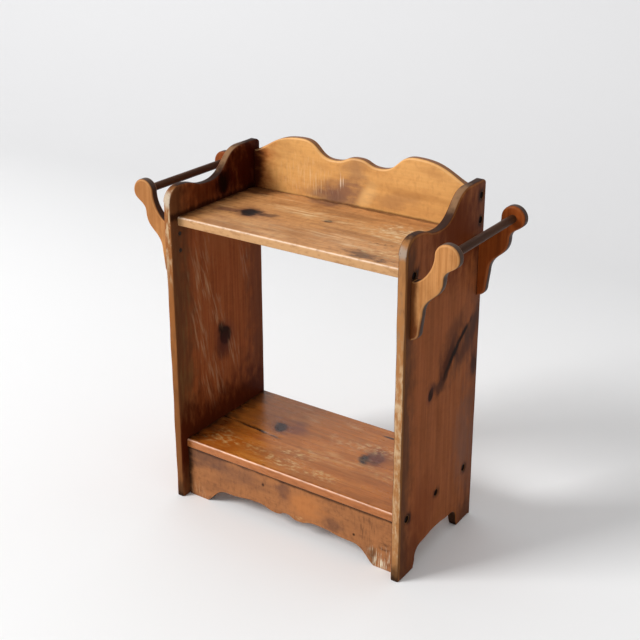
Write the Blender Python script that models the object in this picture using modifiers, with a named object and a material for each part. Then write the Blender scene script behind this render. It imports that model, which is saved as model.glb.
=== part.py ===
"""Pine washstand: two scrolled sides carry two shelves, a scalloped gallery and apron, and a towel bar each.

Metres, +Z up. The origin is on the floor, at the middle of the stand. The front faces -Y.
"""

import math

import bmesh
import bpy
from mathutils import Matrix

MM = 0.001

# Boards and overall sizes
BOARD = 19 * MM                 # thickness of the dressed pine boards
WIDTH = 546 * MM                # over the outer faces of the sides
DEPTH = 286 * MM                # width of the plank that a side is cut from
SEAT_GAP = 0.3 * MM             # gap left between pieces that touch

# Sides
SIDE_HEIGHT = 720.5 * MM        # top of the side at the back
REAR_CREST_IN = 57 * MM         # flat stretch at the top, from the rear edge
REAR_CORNER = 8 * MM            # rounding of the rear top corner
DIP_DROP = 53.5 * MM            # lowest point of the scroll, below the top at the back
DIP_IN = 121 * MM               # its distance from the front edge
LOBE_DROP = 38.5 * MM           # crest of the front lobe, below the top at the back
LOBE_IN = 32.5 * MM             # crest of the lobe, from the front edge
LOBE_CORNER = 31 * MM           # height of the lobe's round corner
FOOT_LENGTH = 55 * MM           # each foot along the floor
ARCH_HEIGHT = 46.5 * MM         # crown of the arch between the feet
ARCH_FLARE = 5.5 * MM           # lean of the arch's flank at the foot
ARCH_FLANK = 23 * MM            # height where the flank stands upright
ARCH_SHOULDER = 42 * MM         # height where the arch turns level
ARCH_SHOULDER_IN = 28 * MM      # its distance from the foot

# Shelves
UPPER_DROP = 99.5 * MM          # top of the upper shelf below the top of the sides
LOWER_TOP = 132 * MM            # top of the lower shelf above the floor
UPPER_SETBACK = 19.5 * MM       # front of the upper shelf behind the front of the sides
LOWER_SETBACK = 17.5 * MM       # front of the lower shelf behind the front of the sides
NOSING = 5 * MM                 # round top edge at the front of a shelf
NOSING_UNDER = 2.5 * MM         # eased bottom edge at the front of a shelf

# Gallery, with heights above the top of the upper shelf
GALLERY_END = 79 * MM
DOME_RISE = 120 * MM
DOME_X = 132.5 * MM
SWAG_RISE = 86.5 * MM
SWAG_X = 54 * MM
CREST_RISE = 98.5 * MM

# Apron, with heights above the floor
APRON_SETBACK = 2 * MM          # front of the apron behind the front of the lower shelf
APRON_FOOT = 49.5 * MM          # foot at each end of the apron
APRON_SPAN = 51 * MM            # distance from foot to the shoulder of the arch
APRON_SHOULDER = 34 * MM
APRON_CUSP = 33 * MM
APRON_CUSP_X = 25.5 * MM
APRON_WAVE = 40.5 * MM
APRON_WAVE_X = 71.5 * MM
APRON_CENTRE = 40 * MM

# Towel bars and their brackets
BAR_DIAMETER = 16 * MM
BAR_REACH = 66 * MM             # bar's axis from the outer face of the side
BAR_DROP = 61.5 * MM            # bar's axis below the top of the sides
SOCKET_DEPTH = 12 * MM
SOCKET_CLEARANCE = 0.35 * MM    # on the radius, so that the dowel turns
BAR_END_PLAY = 0.3 * MM         # at each end of the dowel
KNOB_RADIUS = 24 * MM
NECK_DROP = 41.5 * MM           # neck under the knob, below the bar's axis
NECK_REACH = 60.5 * MM
WAIST_DROP = 115.5 * MM
WAIST_REACH = 22 * MM
TAIL_DROP = 148.5 * MM
TAIL_REACH = 17.5 * MM
ROOT_TOP_DROP = 56 * MM         # bracket's top on the side, below the bar's axis
ROOT_BOTTOM_DROP = 166 * MM
FRONT_BRACKET_SETBACK = 15 * MM

# Screws, plugs and their holes
SCREW_LENGTH = 32 * MM
SCREW_HEAD_RADIUS = 4.2 * MM
SCREW_HEAD_RIM = 0.5 * MM
SCREW_HEAD_DEPTH = 3.0 * MM
SCREW_SHANK_RADIUS = 2.1 * MM
SCREW_POINT = 7 * MM
SCREW_CLEARANCE = 0.3 * MM
SLOT_WIDTH = 1.2 * MM
SLOT_DEPTH = 1.0 * MM
PLUG_RADIUS = 6.35 * MM        # half-inch plugs
PLUG_LENGTH = 4 * MM
PLUG_RECESS = 3 * MM            # plugs lie well below the face
LOWER_SCREW_DROP = 6.5 * MM     # screws below the top of the lower shelf
UPPER_SCREW_DROP = 11 * MM      # screws below the top of the upper shelf
SHELF_SCREW_FRONT_IN = 7 * MM   # first screw behind the shelf's front
SHELF_SCREW_REAR_IN = 37 * MM   # last screw before the rear edge of the sides
GALLERY_SCREWS = (22.5 * MM, 70.5 * MM)     # above the top of the upper shelf
GALLERY_SCREW_IN = 14 * MM      # before the rear edge of the sides
BRACKET_SCREW_DROPS = (74.5 * MM, 109.5 * MM)  # below the bar's axis

# Glue blocks behind the apron
BLOCK_SIDE = 24 * MM
BLOCK_LENGTH = 70 * MM
BLOCK_X = 130 * MM              # middle of a block from the middle of the stand

# Fineness of the meshes
EDGE_ROUND = 5 * MM             # round edges of the scrolled boards
EDGE_STEPS = 2
CURVE_STEPS = 6                 # straight runs in one curve of an outline
CURVE_PULL = 0.55               # handle length, close to a quarter circle's
BAR_SIDES = 24
SCREW_SIDES = 12
FLAT_ANGLE = math.radians(0.5)
ROUND_ANGLE = math.radians(40)
QUARTER_TURN = math.radians(90)
WELD = 0.001 * MM

# Places worked out from the sizes above
HALF_WIDTH = WIDTH / 2
HALF_DEPTH = DEPTH / 2
INNER_FACE = HALF_WIDTH - BOARD
HALF_SPAN = INNER_FACE - SEAT_GAP
UPPER_TOP = SIDE_HEIGHT - UPPER_DROP
BAR_HEIGHT = SIDE_HEIGHT - BAR_DROP
GALLERY_FRONT = HALF_DEPTH - BOARD
UPPER_FRONT = -HALF_DEPTH + UPPER_SETBACK
LOWER_FRONT = -HALF_DEPTH + LOWER_SETBACK
UPPER_BACK = GALLERY_FRONT - SEAT_GAP
APRON_FRONT = LOWER_FRONT + APRON_SETBACK
APRON_TOP = LOWER_TOP - BOARD - SEAT_GAP
FRONT_BRACKET_Y = -HALF_DEPTH + FRONT_BRACKET_SETBACK + BOARD / 2
REAR_BRACKET_Y = HALF_DEPTH - BOARD / 2
BAR_X = HALF_WIDTH + BAR_REACH
SOCKET_FRONT = FRONT_BRACKET_Y + BOARD / 2 - SOCKET_DEPTH
SOCKET_BACK = REAR_BRACKET_Y - BOARD / 2 + SOCKET_DEPTH
COUNTERBORE = PLUG_RECESS + PLUG_LENGTH + SEAT_GAP

# A board cut from the YZ plane is as thick along X, and one cut from the XZ plane along Y
YZ_PLANE = Matrix(((0, 0, 1, 0), (1, 0, 0, 0), (0, 1, 0, 0), (0, 0, 0, 1)))
XZ_PLANE = Matrix(((1, 0, 0, 0), (0, 0, -1, 0), (0, 1, 0, 0), (0, 0, 0, 1)))
SIDES = (("left", -1), ("right", 1))

# Principled colour, roughness and metallic value of each finish
FINISHES = {
    "dark_pine": ((0.19, 0.068, 0.027), 0.45, 0.0),
    "shelf_pine": ((0.43, 0.19, 0.065), 0.42, 0.0),
    "gallery_pine": ((0.65, 0.33, 0.10), 0.40, 0.0),
    "apron_pine": ((0.37, 0.15, 0.06), 0.50, 0.0),
    "bracket_pine": ((0.47, 0.21, 0.075), 0.45, 0.0),
    "dowel_birch": ((0.055, 0.022, 0.012), 0.40, 0.0),
    "plug_wood": ((0.03, 0.012, 0.008), 0.60, 0.0),
    "raw_pine": ((0.52, 0.33, 0.16), 0.70, 0.0),
    "screw_steel": ((0.16, 0.15, 0.14), 0.45, 1.0),
}


def clear_scene():
    """Removes every object that the file starts with."""
    for obj in list(bpy.data.objects):
        bpy.data.objects.remove(obj, do_unlink=True)


def new_collection(name):
    collection = bpy.data.collections.new(name)
    bpy.context.scene.collection.children.link(collection)
    return collection


def new_material(name):
    colour, roughness, metallic = FINISHES[name]
    material = bpy.data.materials.new(name)
    material.use_nodes = True
    shader = material.node_tree.nodes["Principled BSDF"]
    shader.inputs["Base Color"].default_value = (*colour, 1.0)
    shader.inputs["Roughness"].default_value = roughness
    shader.inputs["Metallic"].default_value = metallic
    material.diffuse_color = (*colour, 1.0)
    return material


def handle(point, other, tangent):
    """The Bezier handle of a point towards its neighbour, level, upright or straight at it."""
    du = other[0] - point[0]
    dv = other[1] - point[1]
    if tangent == "level":
        return (point[0] + CURVE_PULL * du, point[1], 0)
    if tangent == "upright":
        return (point[0], point[1] + CURVE_PULL * dv, 0)
    return (point[0] + du / 3, point[1] + dv / 3, 0)


def outline_curve(name, moves, thickness):
    """A filled 2D curve. A move is u, v and the tangents at the start and end of the run that leads there."""
    curve = bpy.data.curves.new(name, "CURVE")
    curve.dimensions = "2D"
    curve.fill_mode = "BOTH"
    curve.extrude = thickness / 2
    curve.resolution_u = CURVE_STEPS
    spline = curve.splines.new("BEZIER")
    spline.bezier_points.add(len(moves) - 1)
    spline.use_cyclic_u = True
    for index, knot in enumerate(spline.bezier_points):
        here = moves[index]
        before = moves[index - 1]
        after = moves[(index + 1) % len(moves)]
        knot.handle_left_type = "FREE"
        knot.handle_right_type = "FREE"
        knot.co = (here[0], here[1], 0)
        knot.handle_left = handle(here, before, here[3])
        knot.handle_right = handle(here, after, after[2])
    return curve


def line(u, v):
    return (u, v, None, None)


def bend(u, v, start, end):
    return (u, v, start, end)


def mirrored(half):
    """A whole outline from the half that runs from the middle, at u = 0, out to the end."""
    other = []
    for index in range(len(half) - 1, 0, -1):
        u, v = half[index - 1][:2]
        start, end = half[index][3], half[index][2]
        other.append((-u, v, start, end))
    first = half[-1]
    return half + [(-first[0], first[1], None, None)] + other[:-1]


def close_middle(moves, half):
    """Gives the first move the run that comes back to the middle from the mirrored side."""
    u, v = moves[0][:2]
    return [(u, v, half[1][3], half[1][2])] + moves[1:]


def mesh_of(obj):
    """The evaluated mesh of an object, with its doubles welded and its flat faces merged."""
    bpy.context.view_layer.update()
    depsgraph = bpy.context.evaluated_depsgraph_get()
    mesh = bpy.data.meshes.new_from_object(obj.evaluated_get(depsgraph))
    work = bmesh.new()
    work.from_mesh(mesh)
    bmesh.ops.remove_doubles(work, verts=work.verts, dist=WELD)
    bmesh.ops.dissolve_limit(work, angle_limit=FLAT_ANGLE, verts=work.verts, edges=work.edges)
    bmesh.ops.recalc_face_normals(work, faces=work.faces)
    work.to_mesh(mesh)
    work.free()
    return mesh


def board(name, moves, thickness, matrix, finish, round_edges=False):
    """A flat board: a closed outline, filled, given its thickness and made a mesh."""
    curve = outline_curve(name + "_outline", moves, thickness)
    draft = bpy.data.objects.new(name + "_outline", curve)
    parts.objects.link(draft)
    mesh = mesh_of(draft)
    bpy.data.objects.remove(draft, do_unlink=True)
    mesh.name = name
    obj = add_part(name, mesh, finish)
    obj.matrix_world = matrix
    if round_edges:
        bevel = obj.modifiers.new("eased_edges", "BEVEL")
        bevel.width = EDGE_ROUND
        bevel.segments = EDGE_STEPS
        bevel.limit_method = "ANGLE"
        bevel.angle_limit = ROUND_ANGLE
    return obj


def add_part(name, mesh, finish):
    obj = bpy.data.objects.new(name, mesh)
    parts.objects.link(obj)
    if not mesh.materials:
        mesh.materials.append(materials[finish])
    return obj


def add_cutter(name, mesh):
    obj = bpy.data.objects.new(name, mesh)
    cutters.objects.link(obj)
    obj.hide_render = True
    obj.display_type = "WIRE"
    return obj


def cut_holes(obj):
    """Cuts the screw holes, the counterbores and the bar sockets that reach into a board."""
    cut = obj.modifiers.new("holes", "BOOLEAN")
    cut.operation = "DIFFERENCE"
    cut.operand_type = "COLLECTION"
    cut.collection = cutters
    cut.solver = "EXACT"


def cylinder_mesh(name, radius, length, sides):
    work = bmesh.new()
    bmesh.ops.create_cone(work, cap_ends=True, segments=sides, radius1=radius, radius2=radius, depth=length)
    mesh = bpy.data.meshes.new(name)
    work.to_mesh(mesh)
    work.free()
    mesh.shade_smooth()
    mesh.set_sharp_from_angle(angle=ROUND_ANGLE)
    return mesh


def turned_mesh(name, profile):
    """A turned solid about Z from a profile of radius and height that runs from top to bottom."""
    mesh = bpy.data.meshes.new(name)
    points = [(radius, 0, height) for radius, height in profile]
    runs = [(index, index + 1) for index in range(len(points) - 1)]
    mesh.from_pydata(points, runs, [])
    draft = bpy.data.objects.new(name, mesh)
    parts.objects.link(draft)
    screw = draft.modifiers.new("turned", "SCREW")
    screw.steps = SCREW_SIDES
    screw.render_steps = SCREW_SIDES
    screw.use_merge_vertices = True
    screw.merge_threshold = WELD
    turned = mesh_of(draft)
    bpy.data.objects.remove(draft, do_unlink=True)
    turned.name = name
    return turned


def screw_profile(clearance, top):
    """A countersunk wood screw about Z with its head at height 0, or with a clearance its hole."""
    head = SCREW_HEAD_RADIUS + clearance
    shank = SCREW_SHANK_RADIUS + clearance
    tip = -SCREW_LENGTH - clearance
    return [
        (0, top),
        (head, top),
        (head, -SCREW_HEAD_RIM - clearance),
        (shank, -SCREW_HEAD_DEPTH - clearance),
        (shank, tip + SCREW_POINT),
        (0, tip),
    ]


def counterbored_profile():
    """The hole for a screw whose head lies under a plug. Height 0 is the top of the screw head."""
    bore = PLUG_RADIUS + SEAT_GAP
    face = COUNTERBORE + SEAT_GAP
    hole = screw_profile(SCREW_CLEARANCE, 0)
    floor = -SCREW_HEAD_RIM - SCREW_CLEARANCE
    return [(0, face), (bore, face), (bore, floor)] + hole[2:]


def slotted_screw_mesh():
    """A wood screw with one straight slot across its head."""
    mesh = turned_mesh("wood_screw", screw_profile(0, 0))
    draft = bpy.data.objects.new("wood_screw", mesh)
    parts.objects.link(draft)
    work = bmesh.new()
    bmesh.ops.create_cube(work, size=1)
    size = (4 * SCREW_HEAD_RADIUS, SLOT_WIDTH, 2 * SLOT_DEPTH)
    bmesh.ops.scale(work, vec=size, verts=work.verts)
    slot_mesh = bpy.data.meshes.new("slot")
    work.to_mesh(slot_mesh)
    work.free()
    slot = bpy.data.objects.new("slot", slot_mesh)
    parts.objects.link(slot)
    cut = draft.modifiers.new("slot", "BOOLEAN")
    cut.object = slot
    cut.solver = "EXACT"
    slotted = mesh_of(draft)
    slotted.name = "wood_screw"
    for obj in (draft, slot):
        bpy.data.objects.remove(obj, do_unlink=True)
    return slotted


def side_outline():
    """Scroll along the top and the arch between the feet, from the front foot round by the back."""
    front, rear = -HALF_DEPTH, HALF_DEPTH
    arch = HALF_DEPTH - FOOT_LENGTH
    flank = arch - ARCH_FLARE
    shoulder = arch - ARCH_SHOULDER_IN
    lobe = SIDE_HEIGHT - LOBE_DROP
    return [
        line(front, 0),
        line(-arch, 0),
        bend(-flank, ARCH_FLANK, None, "upright"),
        bend(-shoulder, ARCH_SHOULDER, "upright", "level"),
        bend(0, ARCH_HEIGHT, "level", "level"),
        bend(shoulder, ARCH_SHOULDER, "level", "level"),
        bend(flank, ARCH_FLANK, "level", "upright"),
        bend(arch, 0, "upright", None),
        line(rear, 0),
        line(rear, SIDE_HEIGHT - REAR_CORNER),
        bend(rear - REAR_CORNER, SIDE_HEIGHT, "upright", "level"),
        line(rear - REAR_CREST_IN, SIDE_HEIGHT),
        bend(front + DIP_IN, SIDE_HEIGHT - DIP_DROP, "level", "level"),
        bend(front + LOBE_IN, lobe, "level", "level"),
        bend(front, lobe - LOBE_CORNER, "level", "upright"),
    ]


def make_sides():
    for side, sign in SIDES:
        place = Matrix.Translation((sign * (HALF_WIDTH - BOARD / 2), 0, 0))
        obj = board(f"{side}_side", side_outline(), BOARD, place @ YZ_PLANE, "dark_pine", True)
        cut_holes(obj)


def shelf_outline(front, back, top):
    bottom = top - BOARD
    return [
        line(back, bottom),
        line(back, top),
        line(front + NOSING, top),
        bend(front, top - NOSING, "level", "upright"),
        line(front, bottom + NOSING_UNDER),
        bend(front + NOSING_UNDER, bottom, "upright", "level"),
    ]


def make_shelves():
    upper = shelf_outline(UPPER_FRONT, UPPER_BACK, UPPER_TOP)
    lower = shelf_outline(LOWER_FRONT, HALF_DEPTH, LOWER_TOP)
    for name, outline in (("upper_shelf", upper), ("lower_shelf", lower)):
        obj = board(name, outline, 2 * HALF_SPAN, YZ_PLANE, "shelf_pine")
        cut_holes(obj)


def make_gallery():
    """Two domes with a small crest between them, on a board that goes down behind the upper shelf."""
    top = UPPER_TOP
    half = [
        (0, top + CREST_RISE, None, None),
        bend(SWAG_X, top + SWAG_RISE, "level", "level"),
        bend(DOME_X, top + DOME_RISE, "level", "level"),
        bend(HALF_SPAN, top + GALLERY_END, "level", None),
        line(HALF_SPAN, top - BOARD),
    ]
    outline = close_middle(mirrored(half), half)
    place = Matrix.Translation((0, REAR_BRACKET_Y, 0))
    obj = board("back_gallery", outline, BOARD, place @ XZ_PLANE, "gallery_pine", True)
    cut_holes(obj)


def make_apron():
    """A waved lower edge between two feet, under the front of the lower shelf."""
    foot = HALF_SPAN - APRON_FOOT
    half = [
        (0, APRON_CENTRE, None, None),
        bend(APRON_CUSP_X, APRON_CUSP, "level", "level"),
        bend(APRON_WAVE_X, APRON_WAVE, "level", "level"),
        bend(foot - APRON_SPAN, APRON_SHOULDER, "level", "level"),
        bend(foot, 0, "level", None),
        line(HALF_SPAN, 0),
        line(HALF_SPAN, APRON_TOP),
    ]
    outline = close_middle(mirrored(half), half)
    place = Matrix.Translation((0, APRON_FRONT + BOARD / 2, 0))
    board("front_apron", outline, BOARD, place @ XZ_PLANE, "apron_pine")


def bracket_outline(sign):
    """Scrolled arm from its root on the side out to the knob and back under the neck."""
    root = HALF_WIDTH + SEAT_GAP
    axis = HALF_WIDTH + BAR_REACH
    moves = [
        line(root, BAR_HEIGHT - ROOT_BOTTOM_DROP),
        line(root, BAR_HEIGHT - ROOT_TOP_DROP),
        bend(axis - KNOB_RADIUS, BAR_HEIGHT, "level", "upright"),
        bend(axis, BAR_HEIGHT + KNOB_RADIUS, "upright", "level"),
        bend(axis + KNOB_RADIUS, BAR_HEIGHT, "level", "upright"),
        bend(HALF_WIDTH + NECK_REACH, BAR_HEIGHT - NECK_DROP, "upright", "upright"),
        bend(HALF_WIDTH + WAIST_REACH, BAR_HEIGHT - WAIST_DROP, "upright", "upright"),
        line(HALF_WIDTH + TAIL_REACH, BAR_HEIGHT - TAIL_DROP),
    ]
    tail = moves[0]
    moves[0] = bend(tail[0], tail[1], "upright", "level")
    return [(sign * u, v, start, end) for u, v, start, end in moves]


def make_brackets():
    for side, sign in SIDES:
        for place, y in (("front", FRONT_BRACKET_Y), ("rear", REAR_BRACKET_Y)):
            matrix = Matrix.Translation((0, y, 0)) @ XZ_PLANE
            obj = board(f"{side}_{place}_bracket", bracket_outline(sign), BOARD, matrix, "bracket_pine", True)
            cut_holes(obj)


def make_towel_bars():
    """A dowel on each side, captive in the blind sockets of its two brackets."""
    middle = (SOCKET_FRONT + SOCKET_BACK) / 2
    length = SOCKET_BACK - SOCKET_FRONT
    turn = (QUARTER_TURN, 0, 0)
    for side, sign in SIDES:
        mesh = cylinder_mesh(f"{side}_towel_bar", BAR_DIAMETER / 2, length - 2 * BAR_END_PLAY, BAR_SIDES)
        socket = cylinder_mesh(f"{side}_socket", BAR_DIAMETER / 2 + SOCKET_CLEARANCE, length, BAR_SIDES)
        for obj in (add_part(f"{side}_towel_bar", mesh, "dowel_birch"), add_cutter(f"{side}_socket", socket)):
            obj.location = (sign * BAR_X, middle, BAR_HEIGHT)
            obj.rotation_euler = turn


def shelf_screw_places():
    """Name, y and z of every plugged screw in one side."""
    spots = []
    last = HALF_DEPTH - SHELF_SCREW_REAR_IN
    for shelf, front, height in (
        ("lower_shelf", LOWER_FRONT, LOWER_TOP - LOWER_SCREW_DROP),
        ("upper_shelf", UPPER_FRONT, UPPER_TOP - UPPER_SCREW_DROP),
    ):
        first = front + SHELF_SCREW_FRONT_IN
        for place, y in (("front", first), ("middle", (first + last) / 2), ("rear", last)):
            spots.append((f"{shelf}_{place}", y, height))
    for place, rise in zip(("lower", "upper"), GALLERY_SCREWS):
        spots.append((f"gallery_{place}", HALF_DEPTH - GALLERY_SCREW_IN, UPPER_TOP + rise))
    return spots


def make_plugged_screws(screw_mesh):
    """Screws driven through the sides from outside, each sunk under a wooden plug."""
    plug_mesh = cylinder_mesh("plug", PLUG_RADIUS, PLUG_LENGTH, SCREW_SIDES)
    hole_mesh = turned_mesh("counterbored_hole", counterbored_profile())
    for side, sign in SIDES:
        turn = (0, sign * QUARTER_TURN, 0)
        for name, y, z in shelf_screw_places():
            head = (sign * (HALF_WIDTH - COUNTERBORE), y, z)
            screw = add_part(f"{side}_{name}_screw", screw_mesh, "screw_steel")
            hole = add_cutter(f"{side}_{name}_hole", hole_mesh)
            plug = add_part(f"{side}_{name}_plug", plug_mesh, "plug_wood")
            for obj in (screw, hole, plug):
                obj.location = head
                obj.rotation_euler = turn
            plug.location.x = sign * (HALF_WIDTH - PLUG_RECESS - PLUG_LENGTH / 2)


def make_bracket_screws(screw_mesh):
    """Screws driven from the inner faces of the sides into the roots of the brackets."""
    hole_mesh = turned_mesh("countersunk_hole", screw_profile(SCREW_CLEARANCE, SEAT_GAP))
    for side, sign in SIDES:
        turn = (0, -sign * QUARTER_TURN, 0)
        for place, y in (("front", FRONT_BRACKET_Y), ("rear", REAR_BRACKET_Y)):
            for level, drop in zip(("upper", "lower"), BRACKET_SCREW_DROPS):
                name = f"{side}_{place}_bracket_{level}"
                screw = add_part(f"{name}_screw", screw_mesh, "screw_steel")
                hole = add_cutter(f"{name}_hole", hole_mesh)
                for obj in (screw, hole):
                    obj.location = (sign * INNER_FACE, y, BAR_HEIGHT - drop)
                    obj.rotation_euler = turn


def make_glue_blocks():
    """Three-cornered blocks in the angle between the apron and the underside of the lower shelf."""
    front = APRON_FRONT + BOARD + SEAT_GAP
    top = LOWER_TOP - BOARD - SEAT_GAP
    outline = [line(front, top), line(front, top - BLOCK_SIDE), line(front + BLOCK_SIDE, top)]
    for side, sign in SIDES:
        place = Matrix.Translation((sign * BLOCK_X, 0, 0))
        board(f"{side}_glue_block", outline, BLOCK_LENGTH, place @ YZ_PLANE, "raw_pine")


clear_scene()
parts = new_collection("washstand")
cutters = new_collection("cutters")
materials = {finish: new_material(finish) for finish in FINISHES}
wood_screw = slotted_screw_mesh()
make_towel_bars()
make_plugged_screws(wood_screw)
make_bracket_screws(wood_screw)
make_sides()
make_shelves()
make_gallery()
make_apron()
make_brackets()
make_glue_blocks()
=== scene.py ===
"""Looks of an old pine washstand: boards, dowels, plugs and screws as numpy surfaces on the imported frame.

Lengths are in millimetres until a mesh is made. The front faces -Y, +X is to the right, the floor is Z = 0.
"""
import functools
import math

import bpy
import numpy as np
from mathutils import Matrix, Vector
from mathutils.geometry import delaunay_2d_cdt


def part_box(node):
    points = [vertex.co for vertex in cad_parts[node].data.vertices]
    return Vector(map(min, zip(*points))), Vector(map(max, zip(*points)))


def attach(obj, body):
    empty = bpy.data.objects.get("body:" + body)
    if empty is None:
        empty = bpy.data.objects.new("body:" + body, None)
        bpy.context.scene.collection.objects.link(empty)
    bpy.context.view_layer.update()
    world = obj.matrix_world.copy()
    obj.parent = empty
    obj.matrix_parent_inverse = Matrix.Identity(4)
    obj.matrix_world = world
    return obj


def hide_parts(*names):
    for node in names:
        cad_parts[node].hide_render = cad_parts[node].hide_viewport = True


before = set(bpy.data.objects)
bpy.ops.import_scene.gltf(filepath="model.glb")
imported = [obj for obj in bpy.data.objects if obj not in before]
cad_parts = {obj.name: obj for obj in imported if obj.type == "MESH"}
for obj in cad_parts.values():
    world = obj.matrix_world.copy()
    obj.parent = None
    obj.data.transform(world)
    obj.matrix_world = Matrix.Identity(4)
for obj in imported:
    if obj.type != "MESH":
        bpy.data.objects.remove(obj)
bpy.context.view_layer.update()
MM = 0.001


def box_mm(node):
    """Lowest and highest corner of a node of the frame."""
    return [np.array(corner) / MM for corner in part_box(node)]


def middle_mm(node):
    """Middle of a node's box in the frame."""
    return sum(box_mm(node)) / 2


# Boxes of the boards in the frame
SIDE_LOW, SIDE_HIGH = box_mm("right_side")
GALLERY_LOW = box_mm("back_gallery")[0]
APRON_LOW, APRON_HIGH = box_mm("front_apron")
ARM_LOW = box_mm("right_front_bracket")[0]
BAR_LOW, BAR_HIGH = box_mm("right_towel_bar")
BLOCK_LOW, BLOCK_HIGH = box_mm("right_glue_block")

# Places worked out from the boxes
BOARD = SIDE_HIGH[0] - SIDE_LOW[0]
INNER_FACE = SIDE_LOW[0]
HALF_WIDTH, HALF_DEPTH, SIDE_HEIGHT = SIDE_HIGH
HALF_SPAN, _, UPPER_TOP = box_mm("upper_shelf")[1]
LOWER_TOP = box_mm("lower_shelf")[1][2]
BAR_X, BAR_Y, BAR_HEIGHT = middle_mm("right_towel_bar")
BAR_RADIUS = (BAR_HIGH[2] - BAR_LOW[2]) / 2
SIDES = (("left", -1), ("right", 1))

# Scroll and feet of the sides
REAR_CREST_IN = 57.0
REAR_CORNER = 8.0
DIP_DROP = 53.5
DIP_IN = 121.0
LOBE_DROP = 38.5
LOBE_IN = 32.5
LOBE_CORNER = 31.0
FOOT_LENGTH = 55.0
ARCH_HEIGHT = 46.5
ARCH_FLARE = 5.5
ARCH_FLANK = 23.0
ARCH_SHOULDER = 42.0
ARCH_SHOULDER_IN = 28.0

# Gallery above the upper shelf, and apron above the floor
GALLERY_END = 79.0
DOME_RISE = 120.0
DOME_X = 132.5
SWAG_RISE = 86.5
SWAG_X = 54.0
CREST_RISE = 98.5
APRON_FOOT = 49.5
APRON_SPAN = 51.0
APRON_SHOULDER = 34.0
APRON_CUSP = 33.0
APRON_CUSP_X = 25.5
APRON_WAVE = 40.5
APRON_WAVE_X = 71.5
APRON_CENTRE = 40.0

# Arms of the towel bars, below the bar's axis and out from the side
KNOB_RADIUS = 24.0
NECK_DROP = 41.5
NECK_REACH = 60.5
WAIST_DROP = 115.5
WAIST_REACH = 22.0
TAIL_DROP = 148.5
TAIL_REACH = 17.5
ROOT_TOP_DROP = 56.0
ROOT_LEAVE, KNOB_ARRIVE = (0.48, 0.0), (0.0, 0.45)

# Edges, noses and holes
NOSING = 5.0
NOSING_UNDER = 2.5
ROUND_OVER = 5.0
EASED = 0.9
EASE_STEPS = 5
SHORTEST = 0.1  # share of its length that a drawn-in edge has to keep
SQUARE_FADE = 4.0  # how far along an outline a square edge turns into a round one
SQUARE_LOSS = 0.67  # share of its rounding that a square edge loses
SWELL, SWELL_LENGTH, SWELL_START = 0.16, 31.0, 0.7  # slow waves in the rounding of a hand-eased edge
RIPPLE, RIPPLE_LENGTH = 0.12, 13.7  # quick waves in it
EASE_LOSS = 0.14
PLUG_RADIUS = 6.35
PLUG_BORE = 6.65
BORE_DEPTH = 7.2
SCREW_BORE = 4.5
SCREW_SINK = 3.2
BORE_WEAR, BORE_WEAR_DEPTH = 1.28, 0.15  # rubbed rim of a bore, as shares of its radius and depth
PLUG_CHAMFER = 0.4
HEAD_RADIUS = 4.2
SHANK_RADIUS = 2.1
HEAD_CONE = 3.0
POINT_LENGTH = 7.0
SLOT_HALF = 0.6
SLOT_FLOOR_HALF = 0.45
SLOT_DEPTH = 1.0
SLOT_CLEAR = 1.15  # where the head's cone starts, in depths of the slot
HEAD_TAPER = 0.3  # how steeply the head narrows down to there
HEAD_ROWS, HEAD_SWEEP = 15, 1.2  # rows across a head, and the half angle that they cover
POINT_SHARE = 0.06  # width of a screw's tip beside its head
DOWEL_STEPS, DOWEL_SIDES, DOWEL_WOBBLE = 60, 48, -0.008
WOBBLE_ROUND, WOBBLE_ALONG = 47.0, 29.0

# Split in a shelf
SPLIT_ACROSS = np.array((2.0, 1.0, 0.5, 0.0, -0.5, -1.0, -2.0))  # places in widths of the split
SPLIT_SINK = np.array((0.0, 0.0, 0.45, 1.0, 0.45, 0.0, 0.0))  # and depths there
SPLIT_WAVES = ((1.6, 17.0), (0.8, 7.3))  # height and length of the waves in its line
SPLIT_FADE, SPLIT_NARROW = 0.3, 0.35  # share of its length that fades out, and its width at the end

# Studio and camera; the camera was fitted to the photograph, in pixels of a square of 640
FLOOR_FRONT, FLOOR_BACK, FLOOR_HALF = -5000.0, 1600.0, 6000.0
SWEEP, WALL_TOP, SWEEP_STEPS = 1200.0, 5000.0, 24
PAPER_FADE = (0.2, 2.4)  # where the paper turns greyer, as painted shade on the wall, in metres behind the stand
KEY_SPOT, KEY_TARGET = (-4950.0, -5550.0, 5525.0), (0.0, 0.0, 350.0)
KEY_SIZE, KEY_WATTS = 3300.0, 635.0
FILL = 0.56
PHOTO = 640
CAMERA_FOCAL = 1148.25
CAMERA_CENTRE = (315.19, 257.03)
CAMERA_AZIMUTH, CAMERA_HEIGHT, CAMERA_ROLL = 34.605, 20.416, -0.146
CAMERA_DISTANCE = 2165.6
CAMERA_TARGET = (19.38, -48.01, 570.82)
CAMERA_FAR, SENSOR = 50.0, 36.0

# Fineness of the surfaces
RUN_STEPS = 36
ROUND_STEPS = 7
HOLE_SIDES = 40
SHELF_STEPS = 180
SHARP_TURN = math.radians(35)

# Ways in which a run of an outline leaves and arrives, as shares of its reach; straight if none are given
LEVEL = (0.55, 0.0)
UPRIGHT = (0.0, 0.55)
STRAIGHT = (1 / 3, 1 / 3)

# Boards lie in a plane of their own: u and v along the face, w out of it
SIDE_PLANE = np.array(((0, 0, 1), (1, 0, 0), (0, 1, 0)), float)
FRONT_PLANE = np.array(((1, 0, 0), (0, 0, -1), (0, 1, 0)), float)
DOWEL_PLANE = np.array(((0, -1, 0), (1, 0, 0), (0, 0, 1)), float)
BLOCK_MOVES = [
    (BLOCK_LOW[1], BLOCK_HIGH[2]),
    (BLOCK_LOW[1], BLOCK_LOW[2]),
    (BLOCK_HIGH[1], BLOCK_HIGH[2]),
]


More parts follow.
